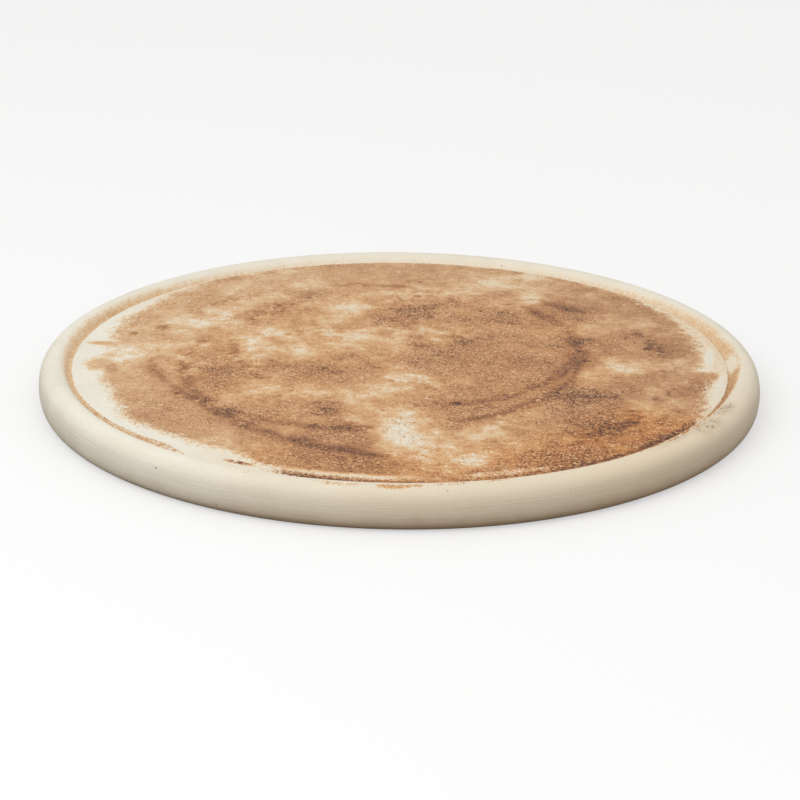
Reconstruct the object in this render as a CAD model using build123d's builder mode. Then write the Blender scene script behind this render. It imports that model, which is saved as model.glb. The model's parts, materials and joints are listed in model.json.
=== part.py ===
from build123d import *

from math import asin, cos, radians, sin, tan
import os

# Round baking stone with a raised rim, pressed from pale fireclay in one piece and fired unglazed.
# The origin is the centre of the ring that it stands on, +Z is up, and sizes are in millimetres and degrees.

# Overall size
stone_diameter = 360.0
floor_thickness = 16.5
rim_rise = 3.5

# Outer edge: a full side, widest below its middle, that runs smoothly into a rounded foot and a rounder crest
widest_height = 9.0
side_curve_radius = 20.0
foot_edge_radius = 6.0
crest_edge_radius = 8.0

# Inside of the rim: it rolls over the crest and runs down into the groove
crest_roll_radius = 6.0
rim_slope = 55.0

# Groove that rings the baking floor, and the lip that climbs from it to the floor
groove_width = 0.9
groove_depth = 0.8
groove_corner_radius = 1.0
lip_slope = 70.0

# Underside: a flat ring to stand on, round a shallow relief
standing_ring_width = 14.0
relief_depth = 0.6
relief_wall_taper = 30.0
relief_corner_radius = 0.6

# Each rounded edge leaves the side's arc at the angle at which the two arcs point the same way
stone_radius = stone_diameter / 2
rim_height = floor_thickness + rim_rise
side_centre_radius = stone_radius - side_curve_radius
foot_angle = asin((widest_height - foot_edge_radius) / (side_curve_radius - foot_edge_radius))
crest_rise = rim_height - widest_height
crest_angle = asin((crest_rise - crest_edge_radius) / (side_curve_radius - crest_edge_radius))
side_start = (
    side_centre_radius + side_curve_radius * cos(foot_angle),
    widest_height - side_curve_radius * sin(foot_angle),
)
side_end = (
    side_centre_radius + side_curve_radius * cos(crest_angle),
    widest_height + side_curve_radius * sin(crest_angle),
)
foot_outer_radius = side_centre_radius + (side_curve_radius - foot_edge_radius) * cos(foot_angle)
crest_radius = side_centre_radius + (side_curve_radius - crest_edge_radius) * cos(crest_angle)

# The relief's wall leans in from the standing ring to the relief's roof
relief_radius = foot_outer_radius - standing_ring_width
relief_roof_radius = relief_radius - relief_depth * tan(radians(relief_wall_taper))

# The roll off the crest ends where it has turned down to the slope of the rim's inner face
roll_end_radius = crest_radius - crest_roll_radius * sin(radians(rim_slope))
roll_end_height = rim_height - crest_roll_radius * (1 - cos(radians(rim_slope)))

# The lip is two equal arcs that meet half way up, at its steepest point
groove_height = floor_thickness - groove_depth
groove_outer_radius = roll_end_radius - (roll_end_height - groove_height) / tan(radians(rim_slope))
groove_inner_radius = groove_outer_radius - groove_width
lip_arc_radius = groove_depth / 2 / (1 - cos(radians(lip_slope)))
lip_middle_radius = groove_inner_radius - lip_arc_radius * sin(radians(lip_slope))
lip_middle_height = floor_thickness - groove_depth / 2
baking_floor_radius = 2 * lip_middle_radius - groove_inner_radius

with BuildPart() as baking_stone:
    # Half section of the pressed disc: out under the relief and the ring that it stands on, which keeps it
    # from rocking, then up the outer edge, over the rim, down into the groove and in over the baking floor
    with BuildSketch(Plane.XZ) as half_section:
        with BuildLine():
            relief_roof = Line((0, relief_depth), (relief_roof_radius, relief_depth))
            relief_wall = Line(relief_roof @ 1, (relief_radius, 0))
            standing_ring = Line(relief_wall @ 1, (foot_outer_radius, 0))
            foot_edge = TangentArc(standing_ring @ 1, side_start, tangent=standing_ring % 1)
            side = TangentArc(foot_edge @ 1, side_end, tangent=foot_edge % 1)
            crest_edge = TangentArc(side @ 1, (crest_radius, rim_height), tangent=side % 1)
            crest_roll = TangentArc(crest_edge @ 1, (roll_end_radius, roll_end_height), tangent=crest_edge % 1)
            inner_face = Line(crest_roll @ 1, (groove_outer_radius, groove_height))
            groove = Line(inner_face @ 1, (groove_inner_radius, groove_height))
            lip_foot = TangentArc(groove @ 1, (lip_middle_radius, lip_middle_height), tangent=groove % 1)
            lip_top = TangentArc(lip_foot @ 1, (baking_floor_radius, floor_thickness), tangent=lip_foot % 1)
            floor = Line(lip_top @ 1, (0, floor_thickness))
            Line(floor @ 1, relief_roof @ 0)
        make_face()
        relief_corner = half_section.vertices().sort_by_distance(relief_roof @ 1)[0]
        fillet(relief_corner, relief_corner_radius)
        groove_corner = half_section.vertices().sort_by_distance(inner_face @ 1)[0]
        fillet(groove_corner, groove_corner_radius)
    revolve(axis=Axis.Z)

baking_stone.part.label = "baking_stone"

os.makedirs("parts", exist_ok=True)
export_step(baking_stone.part, "parts/baking_stone.step")
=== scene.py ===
import json
from math import asin, cos, degrees, pi, radians, sin, tan

import bpy
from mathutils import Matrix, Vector


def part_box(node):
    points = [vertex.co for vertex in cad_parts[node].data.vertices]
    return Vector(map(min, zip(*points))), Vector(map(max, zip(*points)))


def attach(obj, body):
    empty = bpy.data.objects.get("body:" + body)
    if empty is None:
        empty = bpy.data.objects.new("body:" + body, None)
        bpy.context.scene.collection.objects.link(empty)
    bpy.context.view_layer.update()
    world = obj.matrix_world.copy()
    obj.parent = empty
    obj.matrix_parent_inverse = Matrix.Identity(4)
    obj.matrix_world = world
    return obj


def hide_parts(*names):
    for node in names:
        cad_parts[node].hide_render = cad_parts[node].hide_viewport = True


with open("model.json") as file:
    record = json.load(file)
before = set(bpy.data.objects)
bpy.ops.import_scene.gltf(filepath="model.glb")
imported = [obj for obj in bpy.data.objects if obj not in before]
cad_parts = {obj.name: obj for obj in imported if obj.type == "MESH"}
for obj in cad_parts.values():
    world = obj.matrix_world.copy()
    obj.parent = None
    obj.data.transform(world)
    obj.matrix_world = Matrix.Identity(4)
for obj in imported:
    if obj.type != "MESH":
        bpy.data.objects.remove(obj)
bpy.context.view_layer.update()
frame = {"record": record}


# Shape of the baking stone. The real one is a single disc of pale fireclay, pressed in a mould and fired
# unglazed. Its section is carried outwards ring by ring, from the relief underneath, over the rim, down into
# the groove and up the lip to the baking floor, and all sizes are in metres.
stone_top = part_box("baking_stone")[1]
stone_radius = stone_top.x
rim_height = stone_top.z
mount_places = {mount["name"]: mount["pos_m"] for mount in frame["record"]["mounts"]}
floor_height = mount_places["baking_floor"][2]
widest_height = 0.009
side_curve_radius = 0.020
foot_edge_radius = 0.006
crest_edge_radius = 0.008
crest_roll_radius = 0.006
rim_slope = 55
groove_width = 0.0009
groove_depth = 0.0008
groove_corner_radius = 0.0010
lip_slope = 70
standing_ring_width = 0.014
relief_depth = 0.0006
relief_corner_radius = 0.0006
relief_wall_lean = 30
spokes = 720

side_centre = stone_radius - side_curve_radius
foot_angle = asin((widest_height - foot_edge_radius) / (side_curve_radius - foot_edge_radius))
foot_radius = side_centre + (side_curve_radius - foot_edge_radius) * cos(foot_angle)
crest_rise = rim_height - widest_height
crest_angle = asin((crest_rise - crest_edge_radius) / (side_curve_radius - crest_edge_radius))
crest_radius = side_centre + (side_curve_radius - crest_edge_radius) * cos(crest_angle)
relief_radius = foot_radius - standing_ring_width
relief_corner = (
    relief_radius
    - relief_depth * tan(radians(relief_wall_lean))
    - relief_corner_radius * tan(radians(90 - relief_wall_lean) / 2)
)
roll_end_radius = crest_radius - crest_roll_radius * sin(radians(rim_slope))
roll_end_height = rim_height - crest_roll_radius * (1 - cos(radians(rim_slope)))
groove_height = floor_height - groove_depth
groove_outer = roll_end_radius - (roll_end_height - groove_height) / tan(radians(rim_slope))
groove_corner = groove_outer - groove_corner_radius * tan(radians(rim_slope) / 2)
groove_inner = groove_outer - groove_width
lip_arc_radius = groove_depth / 2 / (1 - cos(radians(lip_slope)))
baking_floor_radius = groove_inner - 2 * lip_arc_radius * sin(radians(lip_slope))


def arc(centre_radius, centre_height, curve_radius, start, end, steps):
    """Points of a round in the section, at angles in degrees from straight out and upwards."""
    angles = [radians(start + (end - start) * step / steps) for step in range(steps + 1)]
    return [
        (centre_radius + curve_radius * cos(angle), centre_height + curve_radius * sin(angle))
        for angle in angles
    ]


def straight(start, end, steps):
    """Points between two points of the section, without the two themselves."""
    shares = [step / steps for step in range(1, steps)]
    return [
        (start[0] + (end[0] - start[0]) * share, start[1] + (end[1] - start[1]) * share)
        for share in shares
    ]


foot_hands_over = -degrees(foot_angle)
side_hands_over = degrees(crest_angle)
relief_round = arc(
    relief_corner, relief_depth - relief_corner_radius, relief_corner_radius, 90, relief_wall_lean, 3
)
foot_round = arc(foot_radius, foot_edge_radius, foot_edge_radius, -90, foot_hands_over, 9)
side_round = arc(side_centre, widest_height, side_curve_radius, foot_hands_over, side_hands_over, 9)
crest_round = arc(
    crest_radius, rim_height - crest_edge_radius, crest_edge_radius, side_hands_over, 90, 11
)
crest_roll = arc(crest_radius, rim_height - crest_roll_radius, crest_roll_radius, 90, 90 + rim_slope, 7)
groove_round = arc(
    groove_corner, groove_height + groove_corner_radius, groove_corner_radius, rim_slope - 90, -90, 3
)
lip_foot = arc(groove_inner, groove_height + lip_arc_radius, lip_arc_radius, -90, -90 - lip_slope, 3)
lip_top = arc(baking_floor_radius, floor_height - lip_arc_radius, lip_arc_radius, 90 - lip_slope, 90, 3)
section = (
    relief_round
    + [(relief_radius, 0)]
    + straight((relief_radius, 0), foot_round[0], 6)
    + foot_round
    + side_round[1:]
    + crest_round[1:]
    + crest_roll[1:]
    + straight(crest_roll[-1], groove_round[0], 3)
    + groove_round
    + lip_foot
    + lip_top[1:]
)

bpy.ops.object.select_all(action="DESELECT")
ring_radius, ring_height = section[0]
bpy.ops.mesh.primitive_circle_add(
    vertices=spokes, radius=ring_radius, fill_type="NGON", location=(0, 0, ring_height)
)
stone = bpy.context.object
stone.name = "rimmed_baking_stone"
stone.data.name = "rimmed_baking_stone"
# The relief's roof is inset three times, and the rest of the section grows out from its edge
bpy.ops.object.mode_set(mode="EDIT")
for roof_ring_width in (0.03, 0.04, 0.04):
    bpy.ops.mesh.inset(thickness=roof_ring_width)
bpy.ops.mesh.select_mode(type="EDGE")
bpy.ops.mesh.select_all(action="DESELECT")
bpy.ops.mesh.select_non_manifold()
for next_radius, next_height in section[1:]:
    bpy.ops.mesh.extrude_edges_move(TRANSFORM_OT_translate={"value": (0, 0, next_height - ring_height)})
    growth = next_radius / ring_radius
    bpy.ops.transform.resize(value=(growth, growth, 1), center_override=(0, 0, 0))
    ring_radius, ring_height = next_radius, next_height
bpy.ops.mesh.fill_grid(span=spokes // 4, use_interp_simple=True)
bpy.ops.mesh.select_all(action="SELECT")
bpy.ops.mesh.normals_make_consistent(inside=False)
bpy.ops.object.mode_set(mode="OBJECT")
bpy.ops.object.shade_smooth()
bpy.ops.object.transform_apply(location=True, rotation=True, scale=True)


class Pattern:
    """A number or colour that changes over a surface: one socket of a material's nodes."""

    def __init__(self, tree, socket=None):
        self.tree = tree
        self.socket = socket

    def node(self, kind, settings, inputs, output=0):
        """Adds a node, sets it up, fills its sockets with values or links, and gives one of its outputs."""
        made = self.tree.nodes.new(kind)
        for name, value in settings.items():
            if name == "stops":
                made.color_ramp.elements.remove(made.color_ramp.elements[1])
                made.color_ramp.elements[0].position = value[0][0]
                made.color_ramp.elements[0].color = value[0][1]
                for position, colour in value[1:]:
                    made.color_ramp.elements.new(position).color = colour
            else:
                setattr(made, name, value)
        for name, value in inputs.items():
            if isinstance(value, Pattern):
                self.tree.links.new(value.socket, made.inputs[name])
            else:
                made.inputs[name].default_value = value
        return Pattern(self.tree, made.outputs[output])

    def other(self, output):
        """Another output of the node that this one comes from."""
        return Pattern(self.tree, self.socket.node.outputs[output])

    def maths(self, operation, first, second=0.0):
        return self.node("ShaderNodeMath", {"operation": operation}, {0: first, 1: second})

    def __add__(self, more):
        return self.maths("ADD", self, more)

    def __sub__(self, less):
        return self.maths("SUBTRACT", self, less)

    def __rsub__(self, whole):
        return self.maths("SUBTRACT", whole, self)

    def __mul__(self, times):
        return self.maths("MULTIPLY", self, times)

    def __truediv__(self, parts):
        return self.maths("DIVIDE", self, parts)

    def __pow__(self, power):
        return self.maths("POWER", self, power)

    def __abs__(self):
        return self.maths("ABSOLUTE", self)

    __radd__ = __add__
    __rmul__ = __mul__


def rise(value, low, high):
    """0 below low, 1 above high, and eased between them."""
    ends = {"Value": value, "From Min": low, "From Max": high}
    return value.node("ShaderNodeMapRange", {"interpolation_type": "SMOOTHSTEP"}, ends)


def most(first, *others):
    """The greatest of several patterns, as where stains overlap."""
    for pattern in others:
        first = first.maths("MAXIMUM", first, pattern)
    return first


def cloud(place, scale, detail=3.0, roughness=0.5):
    """Cloudy noise about 0, from about -0.5 to 0.5, with scale patches to each unit of place."""
    inputs = {"Vector": place, "Scale": scale, "Detail": detail, "Roughness": roughness}
    return place.node("ShaderNodeTexNoise", {}, inputs) - 0.5


def through_colours(value, stops):
    """Colour that blends from each stop to the next as the value rises."""
    return value.node("ShaderNodeValToRGB", {"stops": stops}, {"Fac": value})


def paint(under, over, amount, blend="MIX"):
    """Colour laid over another, or multiplied into it, as thick as amount."""
    settings = {"data_type": "RGBA", "blend_type": blend}
    return amount.node("ShaderNodeMix", settings, {0: amount, 6: under, 7: over}, 2)


def seen(red, green, blue):
    """A colour as the eye sees it, 0 to 255, as the light that a shader works in."""
    shares = [part / 255 for part in (red, green, blue)]
    return (*[share / 12.92 if share < 0.04 else ((share + 0.055) / 1.055) ** 2.4 for share in shares], 1)


# Finish of the baking stone: matt cream clay with fine sand in it, scorched golden to dark brown where
# earlier bakes have burnt into the floor and the groove. Bearings are in degrees from the front (-Y),
# positive to the right (+X), and places on the stone are in millimetres.
millimetres = 1000
floor_lip = baking_floor_radius * millimetres
noise_origin = (371, 529, 83)
fireclay = bpy.data.materials.new("scorched_fireclay")
fireclay.use_nodes = True
clay_shader = fireclay.node_tree.nodes["Principled BSDF"]
clay = Pattern(fireclay.node_tree)
place = clay.node("ShaderNodeTexCoord", {}, {}, "Object")
place = clay.node("ShaderNodeVectorMath", {"operation": "SCALE"}, {0: place, "Scale": millimetres})
x = clay.node("ShaderNodeSeparateXYZ", {}, {0: place})
y = x.other("Y")
z = x.other("Z")
radius = (x * x + y * y) ** 0.5

# Noise, from clouds about 50 mm wide to single grains, and fine lines that run round the stone. It shows its
# lattice near its own origin, so it is read away from there.
place = clay.node("ShaderNodeVectorMath", {"operation": "ADD"}, {0: place, 1: noise_origin})
broad = cloud(place, 0.018, 3)
patchy = cloud(place, 0.06, 4)
ragged = cloud(place, 0.3, 4)
crusty = cloud(place, 0.55, 4, 0.7)
grainy = cloud(place, 1.1, 3, 0.6)
sandy = cloud(place, 2.6, 2, 0.6)
grit = grainy + sandy * 0.8
round_the_stone = {0: (radius + z) * 0.9, 1: x / radius * 9, 2: y / radius * 9}
turned_lines = cloud(clay.node("ShaderNodeCombineXYZ", {}, round_the_stone), 1, 3)

# The bearing of each place as a share of a turn from the back, with ragged borders
turn = clay.maths("ARCTAN2", x + patchy * 10, y * -1 + ragged * 8) / (2 * pi) + 0.5


def by_bearing(stops):
    """A value that is set at some bearings round the stone, and blends from each to the next."""
    most_of_all = max(value for bearing, value in stops)
    greys = [(bearing / 360 + 0.5, (*(value / most_of_all,) * 3, 1)) for bearing, value in stops]
    return through_colours(turn, greys) * most_of_all


def patch(bearing, at_radius, length, breadth, lean=0):
    """A ragged patch centred at a bearing and a radius, with its length round the stone unless it leans."""
    tilt = radians(bearing + lean)
    along = x * cos(tilt) + y * sin(tilt) + at_radius * sin(radians(lean))
    across = x * sin(tilt) - y * cos(tilt) - at_radius * cos(radians(lean))
    reach = (((along / (length / 2)) ** 2) ** 1.25 + ((across / (breadth / 2)) ** 2) ** 1.25) ** 0.4
    return 1 - rise(reach + ragged * 0.9 + grit * 0.8, 0.4, 1.15)


def spots(cells_per_mm, share, smallest, largest):
    """Uneven spots in a share of the cells of a random pattern, with radii from smallest to largest."""
    cells = place.node("ShaderNodeTexVoronoi", {}, {"Vector": place, "Scale": cells_per_mm}, "Distance")
    draw = place.node("ShaderNodeSeparateColor", {}, {0: cells.other("Color")})
    size = draw.other("Green") * (largest - smallest) + smallest
    away = cells / cells_per_mm + ragged * (largest * 0.8) + grit * (largest * 0.5)
    return (1 - rise(away, size * 0.5, size * 1.1)) * rise(draw + share, 1, 1.001)


def old_bake(centre_x, centre_y, ring_radius, breadth):
    """Broken brown ring that the edge of an earlier bake left on the floor."""
    off_x = x - centre_x
    off_y = y - centre_y
    off_ring = abs((off_x * off_x + off_y * off_y) ** 0.5 + patchy * 12 - ring_radius)
    whole_ring = 1 - rise(off_ring + ragged * 6 + grit * 8, breadth * 0.2, breadth)
    return whole_ring * rise(broad + ragged * 0.5, -0.06, 0.08)


# How far out the floor has burnt: softly and less at the left, and right out to the lip at the front
near_rim = rise(radius, 90, 145)
floor_edge = by_bearing([
    (-180, 166), (-155, 168), (-138, 165), (-122, 158), (-106, 154), (-98, 149), (-89, 151), (-79, 151),
    (-67, 149), (-60, 154), (-55, 155), (-48, 152), (-38, 149), (-28, 150), (-21, 156), (-14, 166), (0, 169),
    (50, 169), (62, 164), (70, 157), (76, 155), (80, 157.5), (83, 158.5), (86, 153.5), (92, 154.5),
    (98, 155.5), (106, 158), (118, 161), (134, 166), (156, 168), (180, 166),
])
floor_fade = by_bearing([
    (-180, 6), (-125, 7), (-100, 8), (-58, 8), (-40, 6), (-22, 4), (62, 4), (80, 5), (100, 6), (180, 6),
])
on_floor = 1 - rise(radius, floor_lip - 0.25, floor_lip + 0.35)
inside = floor_edge - radius + patchy * 9 + ragged * 8 + crusty * 3
floor_scorch = rise((inside + grit * 16) / floor_fade, -0.6, 0.8)
golden_wash = rise(inside + ragged * 8 + grit * 8, -16, 4) * rise(patchy + ragged, -0.1, 0.2) * on_floor
splashes = most(
    patch(-97, 152, 9, 22) * 0.46, patch(-85, 150, 25, 20) * 0.42, patch(-82, 144, 24, 12) * 0.55,
    patch(-26.8, 157.5, 21, 5) * rise(ragged + grit, -0.2, 0.05) * 0.8, patch(-17, 157, 12, 4) * 0.55,
    patch(82.3, 156.3, 18, 10) * 0.58,
)

# How brown each part of the floor has burnt, from 0, bare clay, to 1, char
middle_warmth = 0.6
warmth = middle_warmth + near_rim * (by_bearing([
    (-180, 0.55), (-135, 0.5), (-100, 0.46), (-84, 0.44), (-60, 0.52), (-30, 0.62), (-5, 0.7), (12, 0.66),
    (24, 0.68), (34, 0.7), (44, 0.77), (56, 0.75), (70, 0.7), (100, 0.66), (135, 0.6), (180, 0.55),
]) - middle_warmth)
sooty = rise(cloud(place, 0.028, 6, 0.65) + grit * 0.5, 0.03, 0.2) * (1 - near_rim * 0.8)
worn_clean = rise(cloud(place, 0.037, 6, 0.68) * -1 - broad * 0.5 + grit * 0.8, 0.0, 0.2)
burnt_spots = most(spots(0.02, 0.35, 2, 8), spots(0.06, 0.3, 0.8, 3))
dark_grains = spots(0.5, 0.35, 0.3, 0.9)
pale_grains = spots(0.4, 0.25, 0.3, 0.9)
rings = most(old_bake(14, -9, 121, 6), old_bake(-17, 12, 109, 5), old_bake(3, 22, 88, 6))
crusted = most(near_rim * by_bearing([
    (-180, 0), (-34, 0), (-26, 0.5), (-12, 0.5), (8, 0.7), (30, 1), (56, 1), (66, 0), (180, 0),
]), (1 - near_rim) * 0.4)
# A darker band along the outer edge of the floor by the lip, from the left front round to the right front
along_the_lip = rise(radius + ragged * 4 + grit * 5, 159, 160.6) * by_bearing([
    (-180, 0), (-26, 0), (-21, 0.2), (0, 0.2), (12, 0.04), (22, 0.04), (30, 0.16), (52, 0.22), (62, 0),
    (180, 0),
])
faded = patch(18, 155.8, 46, 6.5)
floor_tone = warmth + (broad + patchy + ragged) * 0.3 + grit * 0.8
floor_tone = floor_tone + sooty * 0.3 + rings * 0.2 + burnt_spots * 0.28 - worn_clean * 0.42
floor_tone = floor_tone + dark_grains * 0.2 - pale_grains * 0.2
floor_tone = floor_tone + crusted * (grit * 1.3 + crusty * 0.6) + along_the_lip - faded * 0.3

# Places where the floor was wiped or worn back to pale clay, and grains that stayed there
off_arc = abs(radius + patchy * 3 + ragged * 4 + grit * 9 - 155.8)
clean_arc = (1 - rise(off_arc, 0.6, 3.6)) * by_bearing([
    (-180, 0), (-24, 0), (-17, 0.8), (-3, 0.85), (3, 0.35), (7, 0), (180, 0),
])
clean_spots = most(
    clean_arc, patch(92.5, 157, 34, 5.5, -10), patch(77.5, 161, 40, 7), patch(85.3, 152.5, 6, 9) * 0.6,
)
# Toasted margin near the lip at the back and on the right; at the left front, bearings -34 to -22, the tan
# wash is partly a painted shadow
toast_and_shadow_margin = by_bearing([
    (-180, 0.24), (-130, 0.2), (-104, 0), (-42, 0), (-34, 0.14), (-22, 0.14), (-14, 0), (62, 0), (74, 0.12),
    (88, 0.22), (135, 0.22), (180, 0.24),
]) * (1 + ragged + grit) * on_floor
floor_burnt = most(floor_scorch * floor_tone, splashes * (1 + grit * 2), golden_wash * 0.22) * on_floor
floor_burnt = most(floor_burnt, toast_and_shadow_margin) * (1 - clean_spots * 0.85)
stray_grains = dark_grains * rise(inside, -5, 1) * on_floor
floor_burnt = most(floor_burnt, stray_grains * 0.5)

# Stain in the groove, sharp at the lip and fading up the inside of the rim, and spills over the crest
groove_reach = by_bearing([
    (-180, 165), (-140, 166.5), (-107, 169.6), (-93, 168.8), (-84, 168.1), (-76, 167.2), (-70, 166),
    (-62, 165.8), (-48, 165.9), (-41, 165.9), (-35, 162.5), (-27, 162.5), (-15, 163.6), (0, 164.8),
    (30, 164.4), (50, 163.8), (62, 164.4), (68, 165.2), (74, 167.6), (80, 168.8), (87, 170.2),
    (94, 170.2), (100, 169.3), (107, 170.2), (116, 169), (135, 166.5), (180, 165),
])
groove_fade = by_bearing([
    (-180, 3), (-110, 4), (-84, 3), (-70, 1.4), (-40, 1), (60, 1), (78, 1.4), (92, 2.4), (100, 4), (130, 4),
    (180, 3),
])
lip_edge = by_bearing([
    (-180, 163.5), (-70, 163.2), (-56, 162.3), (-50, 161), (-46, 159.9), (-42, 158.7), (-37.3, 161),
    (-35, 163.6), (180, 163.5),
])
over_lip = rise(radius + ragged * 1.5 + grit * 1.5, lip_edge, lip_edge + 0.6)
up_the_rim = (groove_reach - radius + ragged * 2 + grit * 3) / groove_fade
unbroken = by_bearing([(-180, 1), (-76, 1), (-64, 0.15), (-36, 0.1), (-28, 1), (180, 1)])
groove_scorch = over_lip * rise(up_the_rim, -0.9, 0.9) * rise(unbroken + grit + ragged, -0.15, 0.15)
groove_scorch = groove_scorch * (1 - patch(88.7, 166.4, 28, 7.5) * 0.8)
groove_tone = by_bearing([
    (-180, 0.36), (-110, 0.36), (-88, 0.34), (-74, 0.32), (-60, 0.46), (-40, 0.52), (-20, 0.55), (60, 0.6),
    (70, 0.66), (78, 0.55), (88, 0.44), (97, 0.38), (112, 0.3), (180, 0.36),
]) + patchy * 0.2 + ragged * 0.25 + grit * 0.7
spill_middle = by_bearing([(-180, 173), (-9, 173), (0, 173.6), (8, 172), (16, 171), (50, 168.5), (180, 168)])
spill_share = by_bearing([
    (-180, 0), (-25, 0), (-22.5, 0.4), (-20, 0.1), (-17, 0.3), (-15, 0), (-13.5, 0.3), (-12.5, 0.05),
    (-10, 0.6), (-8, 0.3), (-6, 0.6), (-4.5, 0.1), (-2.5, 0.7), (3, 0.65), (4.5, 0.2), (8, 0.55), (9.5, 0.5),
    (11, 0.1), (14, 0.55), (16, 0.4), (19, 0), (36, 0), (48, 0.5), (58, 0.4), (66, 0), (180, 0),
]) * (1 - rise(abs(radius - spill_middle), 0, 3.4))
spill = rise(spill_share + ragged * 0.8 + grit * 0.9, 0.3, 0.62) * rise(spill_share, 0, 0.15)
burnt = most(floor_burnt, groove_scorch * groove_tone, spill * (0.46 + grit))

# The underside has only been warmed: it has toasted a little in patches, and most where it stands on a rack
underneath = 1 - rise(z, 1, 7)
toasted = rise(broad + patchy * 0.7 + grit * 0.4, -0.05, 0.35) * 0.26
stood_on = rise(radius + ragged * 2, 159, 160) * rise(patchy + ragged + grit, -0.2, 0.25) * 0.22
burnt = burnt * (1 - underneath) + most(toasted, stood_on) * underneath

# Colour of the clay, greyer cream on the left and tan from the front to the right, and of the scorch on it.
# The tan is partly the clay's own heat-tanned tone and partly painted shade, darker and warmer on the side
# away from the key lamp.
bare = through_colours(broad * 0.5 + patchy * 0.4 + sandy * 0.35 + turned_lines * 0.25 + 0.5, [
    (0.30, seen(226, 221, 206)),
    (0.50, seen(236, 232, 219)),
    (0.70, seen(242, 239, 229)),
])
tan_and_shade_tint = by_bearing([
    (-180, 0.4), (-100, 0.1), (-55, 0.15), (-40, 0.25), (-20, 0.5), (0, 0.75), (40, 0.95), (60, 0.85),
    (76, 0.65), (92, 0.45), (110, 0.35), (180, 0.4),
])
bare = paint(bare, seen(225, 207, 178), tan_and_shade_tint * rise(radius, 120, 178) * 0.9)
scorched = through_colours(burnt, [
    (0.10, seen(236, 222, 196)),
    (0.35, seen(224, 190, 148)),
    (0.55, seen(203, 157, 113)),
    (0.75, seen(170, 119, 80)),
    (0.90, seen(126, 83, 56)),
    (1.00, seen(78, 52, 38)),
])
colour = paint(bare, scorched, rise(burnt, 0.04, 0.3))
crust_tint = (0.98, 0.74, 0.45, 1)
colour = paint(colour, crust_tint, crusted * rise(burnt, 0.2, 0.5), "MULTIPLY")

# Char and toasted crumbs shed on the rim, pinholes in the clay, and the line that the mould left
char_share = most(patch(64, 171, 26, 10), patch(56, 172, 34, 12), patch(49, 170, 48, 8) * 0.7)
char_share = char_share * rise(z, 13, 18)
char_smudge = char_share * rise(grit + ragged, -0.5, 0.2)
specks = cloud(place, 1.5, 3, 0.65)
char_flecks = rise(specks * 1.5 + ragged * 0.6 + char_share * 0.3, 0.39, 0.46)
crumb_share = by_bearing([
    (-180, 0), (-45, 0), (-20, 0.12), (36, 0.14), (48, 0.25), (60, 0.16), (75, 0), (180, 0),
])
crumbs = spots(0.7, crumb_share * (1 - rise(abs(radius - 167), 0, 7)), 0.2, 0.6)
pinholes = spots(0.14, 0.5, 0.15, 0.45)
mould_line = (1 - rise(abs(z + patchy * 0.8 - 12.2), 0.06, 0.25)) * rise(radius, 179, 179.3)
mould_line = mould_line * rise(patchy + ragged * 0.5, -0.04, 0.06)
# Darker tan round the foot of the rim, strongest from the front to the right: painted shade low down and on
# the side away from the key lamp, with some grime where the stone stands
foot_shade_and_grime = (1 - rise(z + patchy * 6, 1, 10)) * rise(radius, 160, 172)
foot_shade_and_grime = foot_shade_and_grime * by_bearing([(-180, 0.6), (-100, 0.3), (-50, 0.4), (-20, 0.8), (30, 1), (90, 1), (180, 0.6)])
colour = paint(colour, seen(184, 152, 118), foot_shade_and_grime * 0.65)
colour = paint(colour, seen(186, 152, 110), char_smudge * 0.4)
colour = paint(colour, seen(172, 120, 76), crumbs * 0.7)
colour = paint(colour, seen(94, 64, 30), char_flecks * 0.95)
colour = paint(colour, seen(150, 118, 86), rise(specks + char_share * 0.06, 0.13, 0.23) * 0.6)
# Painted shade in the pinholes: the holes are coloured dark brown, as their insides are shaded
colour = paint(colour, seen(112, 84, 62), pinholes * 0.85)
colour = paint(colour, seen(246, 240, 226), mould_line * 0.35)
clay.tree.links.new(colour.socket, clay_shader.inputs["Base Color"])
roughness = 0.92 - burnt * 0.2
clay.tree.links.new(roughness.socket, clay_shader.inputs["Roughness"])

# Feel of the surface, in millimetres: sand grains all over, and a thin crust where it has burnt
surface_height = sandy * 0.06 + grainy * 0.06 + turned_lines * 0.12 + grit * burnt * 0.3
surface_height = surface_height + most(char_flecks, crumbs) * 0.12 - pinholes * 0.4 + mould_line * 0.08
relief = clay.node("ShaderNodeBump", {}, {"Strength": 1.0, "Distance": 0.001, "Height": surface_height})
clay.tree.links.new(relief.socket, clay_shader.inputs["Normal"])
stone.data.materials.append(fireclay)

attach(stone, "root")
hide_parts("baking_stone")


def straight_view(pattern):
    """1 where the camera looks, also by way of a mirror or glass, and 0 for light that surfaces scatter."""
    ray = pattern.node("ShaderNodeLightPath", {}, {}, "Is Camera Ray")
    return most(ray, ray.other("Is Glossy Ray"), ray.other("Is Transmission Ray"))


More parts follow.
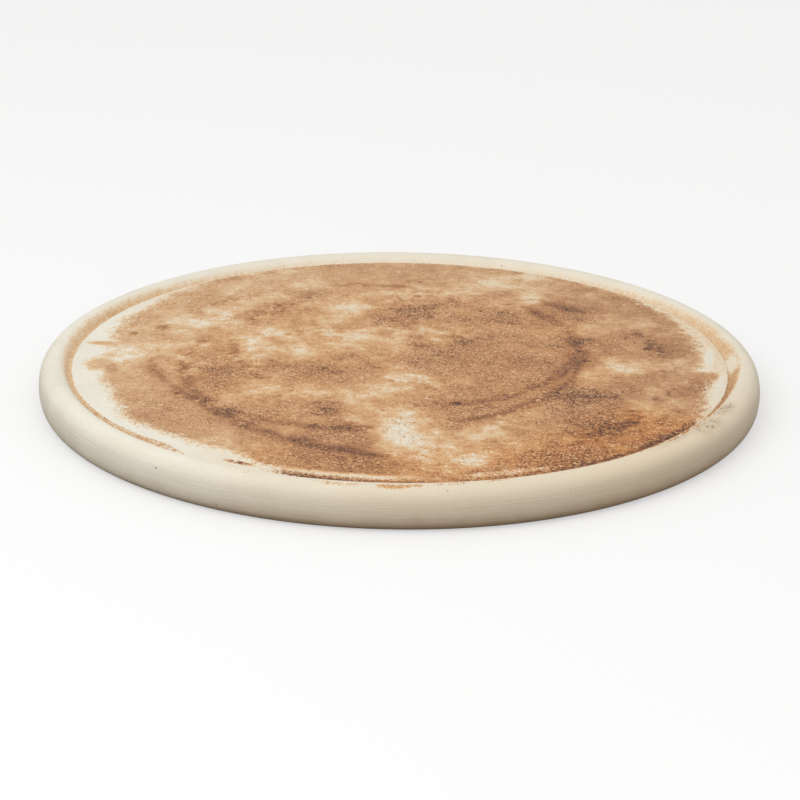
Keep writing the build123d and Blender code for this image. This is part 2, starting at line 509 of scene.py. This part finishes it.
# Floor that the stone stands on. The camera sees it almost white, with the stone's shadow on it, and it
# throws back only a little warm light, so that the foot of the stone darkens.
bpy.ops.object.select_all(action="DESELECT")
bpy.ops.mesh.primitive_plane_add(size=12)
studio_floor = bpy.context.object
studio_floor.name = "studio_floor"
pale = bpy.data.materials.new("pale_studio_floor")
pale.use_nodes = True
pale.node_tree.nodes.remove(pale.node_tree.nodes["Principled BSDF"])
studio = Pattern(pale.node_tree)
floor_view = straight_view(studio)
floor_colour = paint((0.07, 0.05, 0.035, 1), (0.93, 0.93, 0.93, 1), floor_view)
lit_floor = studio.node("ShaderNodeBsdfDiffuse", {}, {"Color": floor_colour})
white_floor = studio.node("ShaderNodeEmission", {}, {"Color": (1, 1, 1, 1), "Strength": 1.0})
floor_shader = studio.node("ShaderNodeMixShader", {}, {0: floor_view * 0.5, 1: lit_floor, 2: white_floor})
pale.node_tree.links.new(floor_shader.socket, pale.node_tree.nodes["Material Output"].inputs["Surface"])
studio_floor.data.materials.append(pale)

# Soft studio light: a white room that is warmer low down, a large lamp in front, above and to the left, and
# a weak one in front
world = bpy.data.worlds.new("studio")
bpy.context.scene.world = world
world.use_nodes = True
room = Pattern(world.node_tree)
upwards = room.node("ShaderNodeTexCoord", {}, {}, "Generated")
upwards = room.node("ShaderNodeSeparateXYZ", {}, {0: upwards}, "Z")
room_colour = paint((1, 0.93, 0.82, 1), (1, 1, 1, 1), rise(upwards, 0, 0.65))
room_colour = paint(room_colour, (1, 1, 1, 1), straight_view(room))
room_light = world.node_tree.nodes["Background"]
room.tree.links.new(room_colour.socket, room_light.inputs["Color"])
room_light.inputs["Strength"].default_value = 0.8

lamps = [
    ("key", (-0.74, -0.78, 1.04), 6.2, (0.97, 0.99, 1)),
    ("fill", (0, -1.4, 0.6), 1.5, (1, 0.98, 0.95)),
]
for name, lamp_place, energy, lamp_colour in lamps:
    bpy.ops.object.light_add(type="AREA", location=lamp_place)
    lamp = bpy.context.object
    lamp.name = name
    lamp.data.size = 1.0
    lamp.data.energy = energy
    lamp.data.color = lamp_colour
    lamp.rotation_euler = (-Vector(lamp_place)).to_track_quat("-Z", "Y").to_euler()

# Camera, fitted to the photograph
camera_view = 20
camera_distance = 1.150
camera_elevation = 20.6
camera_roll = 0.70
camera_aim = Vector((0.0004, 0, -0.0057))
towards_camera = Vector((0, -cos(radians(camera_elevation)), sin(radians(camera_elevation))))
bpy.ops.object.camera_add(location=camera_aim + camera_distance * towards_camera)
camera = bpy.context.object
camera.data.angle = radians(camera_view)
camera.rotation_euler = (-towards_camera).to_track_quat("-Z", "Y").to_euler()
camera.rotation_euler.rotate_axis("Z", radians(camera_roll))
bpy.context.scene.camera = camera
bpy.context.scene.view_settings.view_transform = "Standard"
